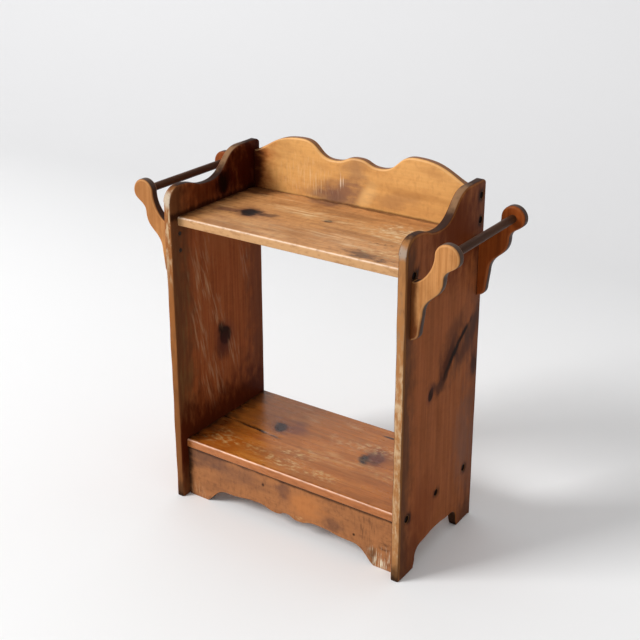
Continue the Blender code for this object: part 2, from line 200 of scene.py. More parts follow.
def outline(moves):
    """Closed outline through the moves, all runs at once. On each run a point is the cubic Bezier mix
    (1-t)^3 A + 3(1-t)^2 t B + 3(1-t) t^2 C + t^3 D, with B and C drawn from the ends by given shares."""
    moves = [(*move, STRAIGHT, STRAIGHT)[:4] for move in moves]
    ends = np.array([move[:2] for move in moves], float)
    starts = np.roll(ends, 1, 0)
    reach = ends - starts
    leave = starts + reach * np.array([move[2] for move in moves])
    arrive = ends - reach * np.array([move[3] for move in moves])
    t = np.linspace(0, 1, RUN_STEPS, endpoint=False)[:, None, None]
    points = (1 - t) ** 3 * starts + 3 * (1 - t) ** 2 * t * leave
    points = points + 3 * (1 - t) * t ** 2 * arrive + t ** 3 * ends
    points = points.transpose(1, 0, 2).reshape(-1, 2)
    after = np.roll(points, -1, 0)
    turning = np.sum(points[:, 0] * after[:, 1] - points[:, 1] * after[:, 0])
    return points if turning > 0 else points[::-1]


def thin_corners(points, reach):
    """The outline, and the reach of its rounding, without the points that the rounding would overrun: while
    an edge drawn in along the mitres is too short or runs back, its points go, except at sharp corners."""
    while True:
        ahead = np.roll(points, -1, 0) - points
        heading = np.arctan2(ahead[:, 1], ahead[:, 0])
        turn = np.abs((heading - np.roll(heading, 1) + math.pi) % (2 * math.pi) - math.pi)
        drawn = points + reach[:, None] * inward(points)
        short = np.sum(ahead * (np.roll(drawn, -1, 0) - drawn - SHORTEST * ahead), 1) < 0
        drop = (short | np.roll(short, 1)) & (turn < SHARP_TURN)
        if not drop.any():
            return points, reach
        points, reach = points[~drop], reach[~drop]


def inward(points):
    """Inward mitre at each point: sum of its two edges' unit normals over one plus their dot product."""
    ahead = np.roll(points, -1, 0) - points
    leaving = np.stack((-ahead[:, 1], ahead[:, 0]), 1) / np.linalg.norm(ahead, axis=1, keepdims=True)
    reaching = np.roll(leaving, 1, 0)
    return (leaving + reaching) / (1 + np.sum(leaving * reaching, 1, keepdims=True))


def outward(points):
    """Unit direction that points away from the board at each point of its outline."""
    mitre = inward(points)
    return -mitre / np.linalg.norm(mitre, axis=1, keepdims=True)


def farthest(points, ways):
    """How near each point of an outline comes to its farthest reach in one of the ways: 1 there, 0 beyond
    the fade, and 0 where there is none."""
    along = points @ np.array(ways, float).reshape(-1, 2).T
    short = along.max(0) - along
    return np.clip(1 - short / SQUARE_FADE, 0, 1).max(1, initial=0.0)


def grid_faces(rows, columns, start, closed=True):
    """Quads between neighbouring rows of a grid; a closed one joins its last column to its first."""
    across = columns if closed else columns - 1
    row, column = np.meshgrid(np.arange(rows - 1), np.arange(across), indexing="ij")
    right = (column + 1) % columns
    here, below = row * columns, (row + 1) * columns
    quads = (here + column, below + column, below + right, here + right)
    return np.stack(quads, -1).reshape(-1, 4) + start


def piece(name, points, faces, material, body, nodes, edge=None, crest=None):
    """Makes a mesh, smooth on its quads and flat on its caps, and ties it to the frame."""
    mesh = bpy.data.meshes.new(name)
    mesh.from_pydata(np.asarray(points) * MM, [], faces)
    for label, values in (("edge", edge), ("crest", crest)):
        if values is not None:
            mesh.attributes.new(label, "FLOAT", "POINT").data.foreach_set("value", values.astype(np.float32))
    mesh.set_sharp_from_angle(angle=SHARP_TURN)
    corners = np.empty(len(mesh.polygons), np.int32)
    mesh.polygons.foreach_get("loop_total", corners)
    mesh.polygons.foreach_set("use_smooth", corners == 4)
    mesh.materials.append(material)
    made = bpy.data.objects.new(name, mesh)
    bpy.context.scene.collection.objects.link(made)
    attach(made, body)
    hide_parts(*nodes)
    return made


def board(moves, thick, round_over, holes=(), square=()):
    """A board with w from -thick/2 to thick/2. Its rim is a grid: the outline along one way and, along the
    other, a quarter round, the flat of the edge and a quarter round, with inset r(1 - sin a) and depth r(1
    - cos a) along the mitre. The radius r wavers along the outline, as on edges eased by hand, and is a
    third where the edge is farthest in a way listed as square. A hole is a ring on the face, a wall and a
    floor. Returns points, faces and, for each point, how far it is on the edge and how far that faces
    up."""
    rim = outline(moves)
    along = np.cumsum(np.linalg.norm(np.roll(rim, -1, 0) - rim, axis=1))
    swell = SWELL * np.sin(along / SWELL_LENGTH + SWELL_START)
    worn = 1 + swell + RIPPLE * np.sin(along / RIPPLE_LENGTH) - EASE_LOSS
    rim, radius = thin_corners(rim, round_over * worn * (1 - SQUARE_LOSS * farthest(rim, square)))
    mitre, out, plain = inward(rim), outward(rim), farthest(rim, square)
    radius = radius[None, :, None]
    angle = np.linspace(0, math.pi / 2, ROUND_STEPS + 1)
    inset = np.concatenate((1 - np.sin(angle), (1 - np.sin(angle))[::-1]))[:, None, None]
    depth = np.concatenate((1 - np.cos(angle), (1 - np.cos(angle))[::-1]))[:, None, None]
    face = np.concatenate((np.ones(ROUND_STEPS + 1), -np.ones(ROUND_STEPS + 1)))[:, None, None]
    flat = rim[None] + inset * radius * mitre[None]
    grid = np.concatenate((flat, face * (thick / 2 - depth * radius)), 2)
    rows, columns = grid.shape[:2]
    points = [grid.reshape(-1, 3)]
    edge = [np.outer(np.concatenate((np.sin(angle), np.sin(angle)[::-1])), 1 - plain).ravel()]
    crest = [np.tile(np.clip(out[:, 1], 0, 1), rows)]
    faces = grid_faces(rows, columns, 0).tolist()
    count = rows * columns
    for sign, first in ((1, 0), (-1, (rows - 1) * columns)):
        loop = np.arange(columns) + first
        rings = []
        for u, v, bore, sink, side in holes:
            if side != sign:
                continue
            spin = np.linspace(0, 2 * math.pi, HOLE_SIDES, endpoint=False)
            reach = bore * np.array((BORE_WEAR, 1.0, 1.0))[:, None]
            low = sign * (thick / 2 - sink * np.array((0.0, BORE_WEAR_DEPTH, 1.0)))[:, None] + 0 * spin
            wall = np.stack((u + reach * np.cos(spin), v + reach * np.sin(spin), low), -1)
            points.append(wall.reshape(-1, 3))
            edge.append(np.repeat((0.0, 1.0, 1.0), HOLE_SIDES))
            crest.append(np.zeros(3 * HOLE_SIDES))
            quads = grid_faces(3, HOLE_SIDES, count)[:, ::-sign]
            floor = (np.arange(HOLE_SIDES) + count + 2 * HOLE_SIDES)[::sign]
            faces += quads.tolist() + [floor.tolist()]
            rings.append(np.arange(HOLE_SIDES) + count)
            count += 3 * HOLE_SIDES
        faces += cap(np.concatenate(points), loop, rings, sign)
    return np.concatenate(points), faces, np.concatenate(edge), np.concatenate(crest)


def cap(points, loop, rings, sign):
    """Triangles that fill a loop of points around its holes, facing w where the sign is positive. A
    triangle with all three corners on one ring lies inside that hole and goes."""
    numbers = np.concatenate([loop, *rings])
    flat = [Vector(spot) for spot in points[numbers, :2]]
    borders, start = [], 0
    for ring in (loop, *rings):
        borders += [(start + k, start + (k + 1) % len(ring)) for k in range(len(ring))]
        start += len(ring)
    tris = numbers[np.array(delaunay_2d_cdt(flat, borders, [], 1, 1e-7)[2])]
    for ring in rings:
        tris = tris[~np.isin(tris, ring).all(1)]
    return tris[:, ::sign].tolist()


def add_board(name, node, slot, material, plane, *shape):
    """Adds a board of the stand, turned from its own plane and moved along w to the middle of its node."""
    points, faces, edge, crest = board(*shape)
    points = points @ plane.T + middle_mm(node) * np.abs(plane[:, 2])
    piece(name, points, faces, material, "stand", [node], edge, crest)


def mirrored(half):
    """A whole outline from the half that runs from the middle, at u = 0, out to the end."""
    half = [(*move, STRAIGHT, STRAIGHT)[:4] for move in half]
    back = [(-before[0], before[1], move[3], move[2]) for before, move in zip(half, half[1:])][::-1]
    last = half[-1]
    whole = half + [(-last[0], last[1])] + back
    return [whole[-1]] + whole[1:-1]


def side_moves():
    """Feet and arch along the floor, the straight back, and the scroll that falls to the front lobe."""
    front, rear = -HALF_DEPTH, HALF_DEPTH
    arch = HALF_DEPTH - FOOT_LENGTH
    flank = arch - ARCH_FLARE
    shoulder = arch - ARCH_SHOULDER_IN
    lobe = SIDE_HEIGHT - LOBE_DROP
    return [
        (front, 0),
        (-arch, 0),
        (-flank, ARCH_FLANK, STRAIGHT, UPRIGHT),
        (-shoulder, ARCH_SHOULDER, UPRIGHT, LEVEL),
        (0, ARCH_HEIGHT, LEVEL, LEVEL),
        (shoulder, ARCH_SHOULDER, LEVEL, LEVEL),
        (flank, ARCH_FLANK, LEVEL, UPRIGHT),
        (arch, 0, UPRIGHT, STRAIGHT),
        (rear, 0),
        (rear, SIDE_HEIGHT - REAR_CORNER),
        (rear - REAR_CORNER, SIDE_HEIGHT, UPRIGHT, LEVEL),
        (rear - REAR_CREST_IN, SIDE_HEIGHT),
        (front + DIP_IN, SIDE_HEIGHT - DIP_DROP, LEVEL, LEVEL),
        (front + LOBE_IN, lobe, LEVEL, LEVEL),
        (front, lobe - LOBE_CORNER, LEVEL, UPRIGHT),
    ]


def gallery_moves():
    """Two domes with a small crest between them, and square lower corners behind the upper shelf."""
    return mirrored([
        (0, UPPER_TOP + CREST_RISE),
        (SWAG_X, UPPER_TOP + SWAG_RISE, LEVEL, LEVEL),
        (DOME_X, UPPER_TOP + DOME_RISE, LEVEL, LEVEL),
        (HALF_SPAN, UPPER_TOP + GALLERY_END, LEVEL, STRAIGHT),
        (HALF_SPAN, GALLERY_LOW[2]),
    ])


def apron_moves():
    """A waved lower edge between two feet, straight along the top."""
    foot = HALF_SPAN - APRON_FOOT
    return mirrored([
        (0, APRON_CENTRE),
        (APRON_CUSP_X, APRON_CUSP, LEVEL, LEVEL),
        (APRON_WAVE_X, APRON_WAVE, LEVEL, LEVEL),
        (foot - APRON_SPAN, APRON_SHOULDER, LEVEL, LEVEL),
        (foot, 0, LEVEL, STRAIGHT),
        (HALF_SPAN, 0),
        (HALF_SPAN, APRON_HIGH[2]),
    ])


def arm_moves(sign):
    """Scrolled arm from its root on the side out to the round knob and back under the neck to the tail."""
    root, axis = ARM_LOW[0], BAR_X
    moves = [
        (root, ARM_LOW[2], UPRIGHT, LEVEL),
        (root, BAR_HEIGHT - ROOT_TOP_DROP),
        (axis - KNOB_RADIUS, BAR_HEIGHT, ROOT_LEAVE, KNOB_ARRIVE),
        (axis, BAR_HEIGHT + KNOB_RADIUS, UPRIGHT, LEVEL),
        (axis + KNOB_RADIUS, BAR_HEIGHT, LEVEL, UPRIGHT),
        (HALF_WIDTH + NECK_REACH, BAR_HEIGHT - NECK_DROP, UPRIGHT, UPRIGHT),
        (HALF_WIDTH + WAIST_REACH, BAR_HEIGHT - WAIST_DROP, UPRIGHT, UPRIGHT),
        (HALF_WIDTH + TAIL_REACH, BAR_HEIGHT - TAIL_DROP),
    ]
    return [(sign * move[0], *move[1:]) for move in moves]


def shelf(front, back, top, split):
    """A shelf as a profile in y and z carried along x: from the rear bottom corner up, along the top, round
    the nose a quarter turn and back. A split in the top is some of its points: they follow a wandering
    line y(x) = y0 + slope (x - x0) + waves and sink by a depth that fades out at the split's inner end."""
    bottom = top - BOARD
    turn = np.linspace(0, math.pi / 2, ROUND_STEPS + 1)
    nose = np.stack((front + NOSING * (1 - np.sin(turn)), top - NOSING * (1 - np.cos(turn))), 1)
    under_y = front + NOSING_UNDER * (1 - np.cos(turn))
    under = np.stack((under_y, bottom + NOSING_UNDER * (1 - np.sin(turn))), 1)
    rear = np.array(((back, bottom + EASED), (back, top - EASED), (back - EASED, top)))
    first, last = len(rear), len(rear) + len(SPLIT_ACROSS)
    seam = np.zeros((len(SPLIT_ACROSS), 2))
    profile = np.concatenate((rear, seam, nose, under, [(back - EASED, bottom)]))
    x = np.linspace(-HALF_SPAN, HALF_SPAN, SHELF_STEPS)[:, None]
    start, end, y_start, y_end, width, depth = split
    share = np.clip((x - start) / (end - start), 0, 1)
    waves = [rise * np.sin(x / length) for rise, length in SPLIT_WAVES]
    line = y_start + (y_end - y_start) * share + sum(waves)
    fade = np.clip((end - x) / (SPLIT_FADE * (end - start)), 0, 1)
    grid = np.empty((SHELF_STEPS, len(profile), 3))
    grid[..., 0] = x
    grid[..., 1:] = profile
    grid[:, first:last, 1] = line + width * SPLIT_ACROSS * (SPLIT_NARROW + (1 - SPLIT_NARROW) * fade)
    grid[:, first:last, 2] = top - depth * SPLIT_SINK * fade
    rows, columns = grid.shape[:2]
    faces = grid_faces(rows, columns, 0)[:, ::-1].tolist()
    right_end = np.arange(columns) + (rows - 1) * columns
    faces += [right_end.tolist(), np.arange(columns)[::-1].tolist()]
    tilt = np.zeros(len(profile))
    tilt[last:last + len(turn)] = turn
    edge = np.where(np.arange(len(profile)) < last, 0.0, 1.0)
    edge[last:last + len(turn)] = np.sin(turn)
    edge[-1] = 0.0
    # The crest peaks in the middle of the nose's round, where the shelves paint a highlight that is partly a
    # rubbed edge
    crest = np.sin(2 * tilt) ** 2
    return grid.reshape(-1, 3), faces, np.tile(edge, rows), np.tile(crest, rows)


def turned(profile, sides, wobble=0.0):
    """A turned solid along x: a profile of x and radius carried round the axis, closed by a disc at each
    end. A wobble makes its radius swell by a share as it goes round and along."""
    profile = np.array(profile, float)
    spin = np.linspace(0, 2 * math.pi, sides, endpoint=False)
    along, radius = profile[:, :1], profile[:, 1:]
    swell = 1 + wobble * np.sin(2 * spin + along / WOBBLE_ROUND) * np.sin(along / WOBBLE_ALONG)
    grid = np.stack((along + 0 * spin, radius * swell * np.cos(spin), radius * swell * np.sin(spin)), -1)
    rows = len(profile)
    faces = grid_faces(rows, sides, 0)[:, ::-1].tolist()
    faces += [(np.arange(sides) + (rows - 1) * sides).tolist(), np.arange(sides)[::-1].tolist()]
    return grid.reshape(-1, 3), faces


def wood_screw(length):
    """A slotted wood screw along -x with its head at x = 0. The top of the head is a grid: rows go along
    the slot, and a row's points go across, out to the circle's half chord sqrt(R^2 - v^2), and drop by the
    slot's depth between its walls. The rim of that grid is then carried down the screw and drawn in to the
    shank and the point."""
    v = HEAD_RADIUS * np.sin(np.linspace(-1, 1, HEAD_ROWS) * HEAD_SWEEP)[:, None]
    chord = np.sqrt(HEAD_RADIUS ** 2 - v ** 2)
    slot = np.array((-SLOT_HALF, -SLOT_FLOOR_HALF, SLOT_FLOOR_HALF, SLOT_HALF)) + 0 * v
    u = np.concatenate((-chord, slot, chord), 1)
    drop = -SLOT_DEPTH * np.array((0, 0, 1, 1, 0, 0)) + 0 * v
    top = np.stack((drop, u, v + 0 * u), -1)
    rows, columns = top.shape[:2]
    number = np.arange(rows * columns).reshape(rows, columns)
    rim = np.concatenate((number[0], number[1:, -1], number[-1, -2::-1], number[-2:0:-1, 0]))
    flat = top.reshape(-1, 3)[rim, 1:]
    shank = SHANK_RADIUS / HEAD_RADIUS
    shares = np.array((1 - HEAD_TAPER * SLOT_DEPTH / HEAD_CONE, shank, shank, POINT_SHARE))[:, None, None]
    depths = -np.array((SLOT_CLEAR * SLOT_DEPTH, HEAD_CONE, length - POINT_LENGTH, length))[:, None, None]
    body = np.concatenate((depths + 0 * flat[None, :, :1], shares * flat[None]), 2)
    loops = np.concatenate((rim[None], rows * columns + np.arange(4 * len(rim)).reshape(4, -1)))
    after = np.roll(loops, -1, 1)
    walls = np.stack((loops[:-1], loops[1:], after[1:], after[:-1]), -1).reshape(-1, 4)
    head = grid_faces(rows, columns, 0, False)[:, ::-1]
    faces = head.tolist() + walls.tolist() + [loops[-1, ::-1].tolist()]
    return np.concatenate((top.reshape(-1, 3), body.reshape(-1, 3))), faces


def linear(code):
    """Linear RGBA of an sRGB hex colour."""
    shares = [int(code[k:k + 2], 16) / 255 for k in (1, 3, 5)]
    return [s / 12.92 if s <= 0.04045 else ((s + 0.055) / 1.055) ** 2.4 for s in shares] + [1.0]


def add_node(tree, kind, feeds=(), out=0, **settings):
    """Adds one shader node. Feeds give an input's key and its value or the output that drives it."""
    made = tree.nodes.new("ShaderNode" + kind)
    for name, value in settings.items():
        setattr(made, name, value)
    for key, feed in dict(feeds).items():
        if isinstance(feed, bpy.types.NodeSocket):
            tree.links.new(feed, made.inputs[key])
        else:
            made.inputs[key].default_value = feed
    return made.outputs[out]


def new_material(name):
    """A material, its node tree and the function that adds nodes to that tree."""
    material = bpy.data.materials.new(name)
    material.use_nodes = True
    tree = material.node_tree
    return material, tree, functools.partial(add_node, tree)


SOFT = {"interpolation_type": "SMOOTHSTEP"}
RGBA = {"out": 2, "data_type": "RGBA"}
FLAT = 1e6  # a scale at which a direction no longer counts
THROUGH = (0.0, FLAT)
MARK_DEPTH = 14.0  # how far marks on one face reach into a board
RUST_SPECK = 1.2  # width of the specks on the screws
KNOT_RAGGED = 0.4  # how ragged a knot is beside a stain

# Turns from the stand's axes to a board's own: along the grain, across it, and through the board
SHELF_GRAIN = (0.0, 0.0, 0.0)
SIDE_GRAIN = (0.0, math.pi / 2, 0.0)
FRONT_GRAIN = (-math.pi / 2, 0.0, 0.0)
ARM_GRAIN = (math.pi / 2, 0.0, math.pi / 2)
DOWEL_GRAIN = (0.0, 0.0, -math.pi / 2)

# Patterns in the pine: length and width of their grains in millimetres, detail of the noise and its shift.
# Fibres are drawn 1.6 mm wide, coarser than real ones, so that they show.
SWAY_NOISE = (300, 60)
RAGGED_NOISE = (36, 16, 4.0, 9.1)
NOISE_ROUGH = 0.55
GRAIN_NOISE = {
    "fibre": (150, 1.6, 4.0), "broad": (300, 9, 3.0, 5.9), "cloud": (90, 30, 4.0, 7.3),
    "mottle": (9, 13, 4.0, 2.3), "upright": (2.2, 48, 3.0, 1.7),
}
# Where in its noise a pattern starts to show and shows in full, its colour and what sets its depth
GRAIN_LAYERS = (
    ("fibre", 0.45, 0.75, "deep", "fibre_depth"), ("fibre", 0.55, 0.3, "pale", "pale_depth"),
    ("broad", 0.45, 0.72, "deep", "broad_depth"), ("broad", 0.52, 0.3, "pale", "broad_depth"),
    ("cloud", 0.42, 0.72, "deep", "stain_depth"), ("mottle", 0.45, 0.75, "deep", "mottle_depth"),
    ("upright", 0.45, 0.75, "deep", "upright_depth"), ("upright", 0.5, 0.25, "pale", "upright_depth"),
)
TONES = ("early", "late", "deep", "pale", "knot", "halo", "rim", "crest", "arris")
# How a value in is mapped to a value out: from, to, out at the first, out at the second
KNOT_BEND = {1: 0.4, 2: 3.4, 3: 2.2, 4: 0.0}  # rings pushed aside by a knot
KNOT_HALO = {1: 0.9, 2: 2.0, 3: 0.5, 4: 0.0}
KNOT_CORE = {1: 0.7, 2: 1.1, 3: 0.95, 4: 0.0}
ARRIS_INNER = {1: 0.05, 2: 0.5}  # a painted highlight, in places also rubbed wear: a bright line where a face turns into its edge
ARRIS_OUTER = {1: 0.6, 2: 0.9, 3: 1.0, 4: 0.0}
MARK_FADE = {1: 0.2, 2: 1.0, 4: 0.0}
LATE_WOOD = {1: 0.25, 2: 0.95}
NOISE_MIDDLE = {1: 0.3, 2: 0.7}
SHINIER, DULLER = 0.05, 0.08  # spread of the roughness
FIBRE_BUMP, FIBRE_HEIGHT = 0.2, 0.12
VARNISH_IOR = 1.5

# A mark has a texture unless it is soft, a colour and depth, a place along and across the grain, half its
# length and width, and a turn in degrees. A texture has the length and width of its grains in millimetres,
# their slant, and where their noise starts to show and shows in full.
MARK_DETAIL, MARK_SHIFT = 5.0, 3.1
TEXTURES = {
    "flaky": (13.0, 6.0, 0.0, 0.44, 0.76), "scratch": (60.0, 6.5, -12.0, 0.46, 0.67),
    "streak": (60.0, 8.0, 0.0, 0.44, 0.7), "upright": (2.6, 30.0, 0.0, 0.48, 0.7),
    "speck": (5.0, 2.6, 0.0, 0.56, 0.78),
}


def stretched_noise(put, grain, along, across, detail=2.0, shift=0.0, slant=0.0, out=0):
    """Noise whose grains are so many millimetres long and wide on a board, at a slant in degrees."""
    size = np.array((along, across, across))
    turn = (0, 0, math.radians(slant))
    spread = put("Mapping", {"Vector": grain, "Location": -shift * size, "Rotation": turn, "Scale": size},
                 vector_type="TEXTURE")
    feeds = {"Vector": spread, "Scale": 1.0, "Detail": detail, "Roughness": NOISE_ROUGH}
    return put("TexNoise", feeds, out=out)


def oval(put, grain, ragged, face, along, across, half_along, half_across, turn=0.0):
    """Distance from the middle of an oval on a board, about 1 at its ragged rim. The face gives how deep in
    the board the middle lies and how far the oval reaches through it."""
    level, reach = face
    place = {"Location": (along, across, level), "Rotation": (0, 0, math.radians(turn))}
    size = (half_along, half_across, reach)
    inside = put("Mapping", {"Vector": grain, "Scale": size, **place}, vector_type="TEXTURE")
    length = put("VectorMath", {0: inside}, out="Value", operation="LENGTH")
    return put("Math", {0: length, 1: ragged}, operation="ADD")


def marked(put, grain, ragged, face, colour, marks):
    """A colour with stains, scratches and worn places laid over it, each inside a soft oval."""
    torn = {}
    for mark in marks:
        texture = mark[0] if mark[0] in TEXTURES else None
        code, depth, *spot = mark[1:] if texture else mark
        away = oval(put, grain, ragged, face, *spot)
        mask = put("MapRange", {0: away, 3: depth, **MARK_FADE}, **SOFT)
        if texture and texture not in torn:
            along, across, slant, start, full = TEXTURES[texture]
            noise = stretched_noise(put, grain, along, across, MARK_DETAIL, MARK_SHIFT, slant)
            torn[texture] = put("MapRange", {0: noise, 1: start, 2: full}, **SOFT)
        if texture:
            mask = put("Math", {0: mask, 1: torn[texture]}, operation="MULTIPLY")
        colour = put("Mix", {0: mask, 6: colour, 7: linear(code)}, **RGBA)
    return colour


def pine(name, **changes):
    """Old flat-sawn pine, varnished to a satin sheen and worn by use: growth rings show as faint arches,
    fibres as fine streaks and knots as dark ovals that the rings bend around. Edges are rubbed or grimy,
    and a painted highlight brightens the arris."""
    look = {**PINE, **changes}
    material, tree, put = new_material(name)
    shader = tree.nodes["Principled BSDF"]
    colours = {tone: linear(look[tone]) for tone in TONES}
    place = put("TexCoord", out="Object")
    grain = put("Mapping", {"Vector": place, "Rotation": look["turn"], "Scale": (1 / MM,) * 3})
    sway = stretched_noise(put, grain, *SWAY_NOISE, out=1)
    sway = put("VectorMath", {0: sway, 1: (0.5,) * 3}, operation="SUBTRACT")
    swing = (0, look["sway"], look["sway"])
    swayed = put("VectorMath", {0: sway, 1: swing, 2: grain}, operation="MULTIPLY_ADD")
    lean = (0, *(math.radians(angle) for angle in look["lean"]))
    heart = {"Location": (0, *look["heart"]), "Rotation": lean}
    size = (FLAT, look["ring"], look["ring"])
    rings = put("Mapping", {"Vector": swayed, "Scale": size, **heart}, vector_type="TEXTURE")
    ring = put("VectorMath", {0: rings}, out="Value", operation="LENGTH")
    torn = stretched_noise(put, grain, *RAGGED_NOISE)
    ragged = put("MapRange", {0: torn, 3: -look["ragged"], 4: look["ragged"], **NOISE_MIDDLE})
    calm = put("Math", {0: ragged, 1: KNOT_RAGGED}, operation="MULTIPLY")
    knots = [oval(put, swayed, calm, THROUGH, *knot) for knot in look["knots"]]
    for knot in knots:
        bend = put("MapRange", {0: knot, **KNOT_BEND}, **SOFT)
        ring = put("Math", {0: ring, 1: bend}, operation="ADD")
    year = put("Math", {0: ring}, operation="FRACT")
    late = put("MapRange", {0: year, 4: look["ring_depth"], **LATE_WOOD}, **SOFT)
    colour = put("Mix", {0: late, 6: colours["early"], 7: colours["late"]}, **RGBA)
    noises = {key: stretched_noise(put, grain, *sizes) for key, sizes in GRAIN_NOISE.items()}
    for key, low, high, tone, depth in GRAIN_LAYERS:
        if look[depth]:
            share = put("MapRange", {0: noises[key], 1: low, 2: high, 4: look[depth]}, **SOFT)
            colour = put("Mix", {0: share, 6: colour, 7: colours[tone]}, **RGBA)
    for knot in knots:
        halo = put("MapRange", {0: knot, **KNOT_HALO}, **SOFT)
        colour = put("Mix", {0: halo, 6: colour, 7: colours["halo"]}, **RGBA)
        core = put("MapRange", {0: knot, **KNOT_CORE}, **SOFT)
        colour = put("Mix", {0: core, 6: colour, 7: colours["knot"]}, **RGBA)
    colour = marked(put, swayed, ragged, look["face"], colour, look["marks"])
    edge = put("Attribute", out="Fac", attribute_name="edge")
    crest = put("Attribute", out="Fac", attribute_name="crest")
    # Rims take the crest colour where they face up; on the shelves that is the painted highlight on the
    # nose, partly rubbed
    rim = put("Mix", {0: crest, 6: colours["rim"], 7: colours["crest"]}, **RGBA)
    rim = marked(put, grain, ragged, THROUGH, rim, look["rim_marks"])
    start, end = look["rim_reach"]
    reach = put("MapRange", {0: edge, 1: start, 2: end, 4: look["rim_depth"]}, **SOFT)
    colour = put("Mix", {0: reach, 6: colour, 7: rim}, **RGBA)
    # Painted highlight along the arris, in places also rubbed wear
    if look["arris_depth"]:
        inner = put("MapRange", {0: edge, 4: look["arris_depth"], **ARRIS_INNER}, **SOFT)
        outer = put("MapRange", {0: edge, **ARRIS_OUTER}, **SOFT)
        bright = put("Math", {0: inner, 1: outer}, operation="MULTIPLY")
        colour = put("Mix", {0: bright, 6: colour, 7: colours["arris"]}, **RGBA)
    tree.links.new(colour, shader.inputs["Base Color"])
    sheen = {3: look["rough"] - SHINIER, 4: look["rough"] + DULLER}
    rough = put("MapRange", {0: noises["cloud"], **NOISE_MIDDLE, **sheen})
    tree.links.new(rough, shader.inputs["Roughness"])
    height = put("Math", {0: noises["fibre"], 1: late}, operation="ADD")
    bump = put("Bump", {"Height": height, "Strength": FIBRE_BUMP, "Distance": FIBRE_HEIGHT * MM})
    tree.links.new(bump, shader.inputs["Normal"])
    shader.inputs["IOR"].default_value = VARNISH_IOR
    shader.inputs["Specular IOR Level"].default_value = look["gloss"]
    return material


PINE = {
    "early": "#CE9660", "late": "#B98050", "deep": "#8E5A30", "pale": "#DDB07C", "knot": "#2A140C",
    "halo": "#6A3A2A", "rim": "#8A5C3C", "crest": "#4A3329", "arris": "#D8A878", "turn": SHELF_GRAIN,
    "heart": (20.0, -70.0), "lean": (2.5, 0.5), "ring": 6.5, "sway": 12.0, "ring_depth": 0.35,
    "fibre_depth": 0.3, "pale_depth": 0.2, "broad_depth": 0.35, "stain_depth": 0.35, "mottle_depth": 0.15,
    "upright_depth": 0.0, "rim_depth": 0.95, "rim_reach": (0.3, 0.9), "arris_depth": 0.0, "rough": 0.42,
    "gloss": 0.15, "ragged": 0.25, "face": THROUGH, "knots": [], "marks": [], "rim_marks": [],
}

# Planed pine under clear varnish gone golden: the brightest board, with soft brown clouds, pale rubs and a
# painted highlight along its arris
gallery_pine = pine(
    "golden_varnished_pine", turn=FRONT_GRAIN, heart=(560.0, -60.0), early="#E4AA64", late="#D89A54",
    deep="#AE7440", pale="#EEC080", rim="#8C5E36", crest="#7C4A22", rim_reach=(0.92, 1.0), arris="#F0BC80",
    arris_depth=0.35, ring_depth=0.15, fibre_depth=0.08, pale_depth=0.04, broad_depth=0.1, stain_depth=0.45,
    mottle_depth=0.28, upright_depth=0.05, gloss=0.2, face=(-GALLERY_LOW[1], MARK_DEPTH),
    marks=[
        ("#704C48", 0.72, -26, 645, 84, 38, 10), ("#86604C", 0.5, -4, 692, 42, 46),
        ("#785448", 0.5, -66, 632, 88, 18), ("#F8C680", 0.65, 26, 648, 48, 22, 55),
        ("#A8784E", 0.5, 88, 648, 80, 24, 8), ("#B0783F", 0.4, 130, 668, 170, 12, -2),
        ("#F6E4C8", 0.65, -37, 668, 2.2, 22), ("#F6E4C8", 0.55, -31, 669, 1.8, 16),
        ("#F0D4A6", 0.35, -97, 655, 2.0, 28), ("#F0D4A6", 0.35, -111, 663, 1.8, 26),
        ("#F0D4A6", 0.3, -84, 650, 1.6, 20), ("#F0D4A6", 0.3, -126, 668, 1.6, 26),
        # Painted shade: the last mark on the next line darkens the foot along the shelf; the line after
        # paints the left side's shadow on the left end
        ("upright", "#F3D6A8", 0.3, -120, 665, 120, 60), ("#5A3014", 0.7, 0, 619, 3000, 6),
        ("#A44A10", 0.7, -256, 655, 84, 190), ("#360C02", 0.97, -256, 650, 42, 180),
        ("#A86C32", 0.5, 250, 640, 34, 70),
    ],
)
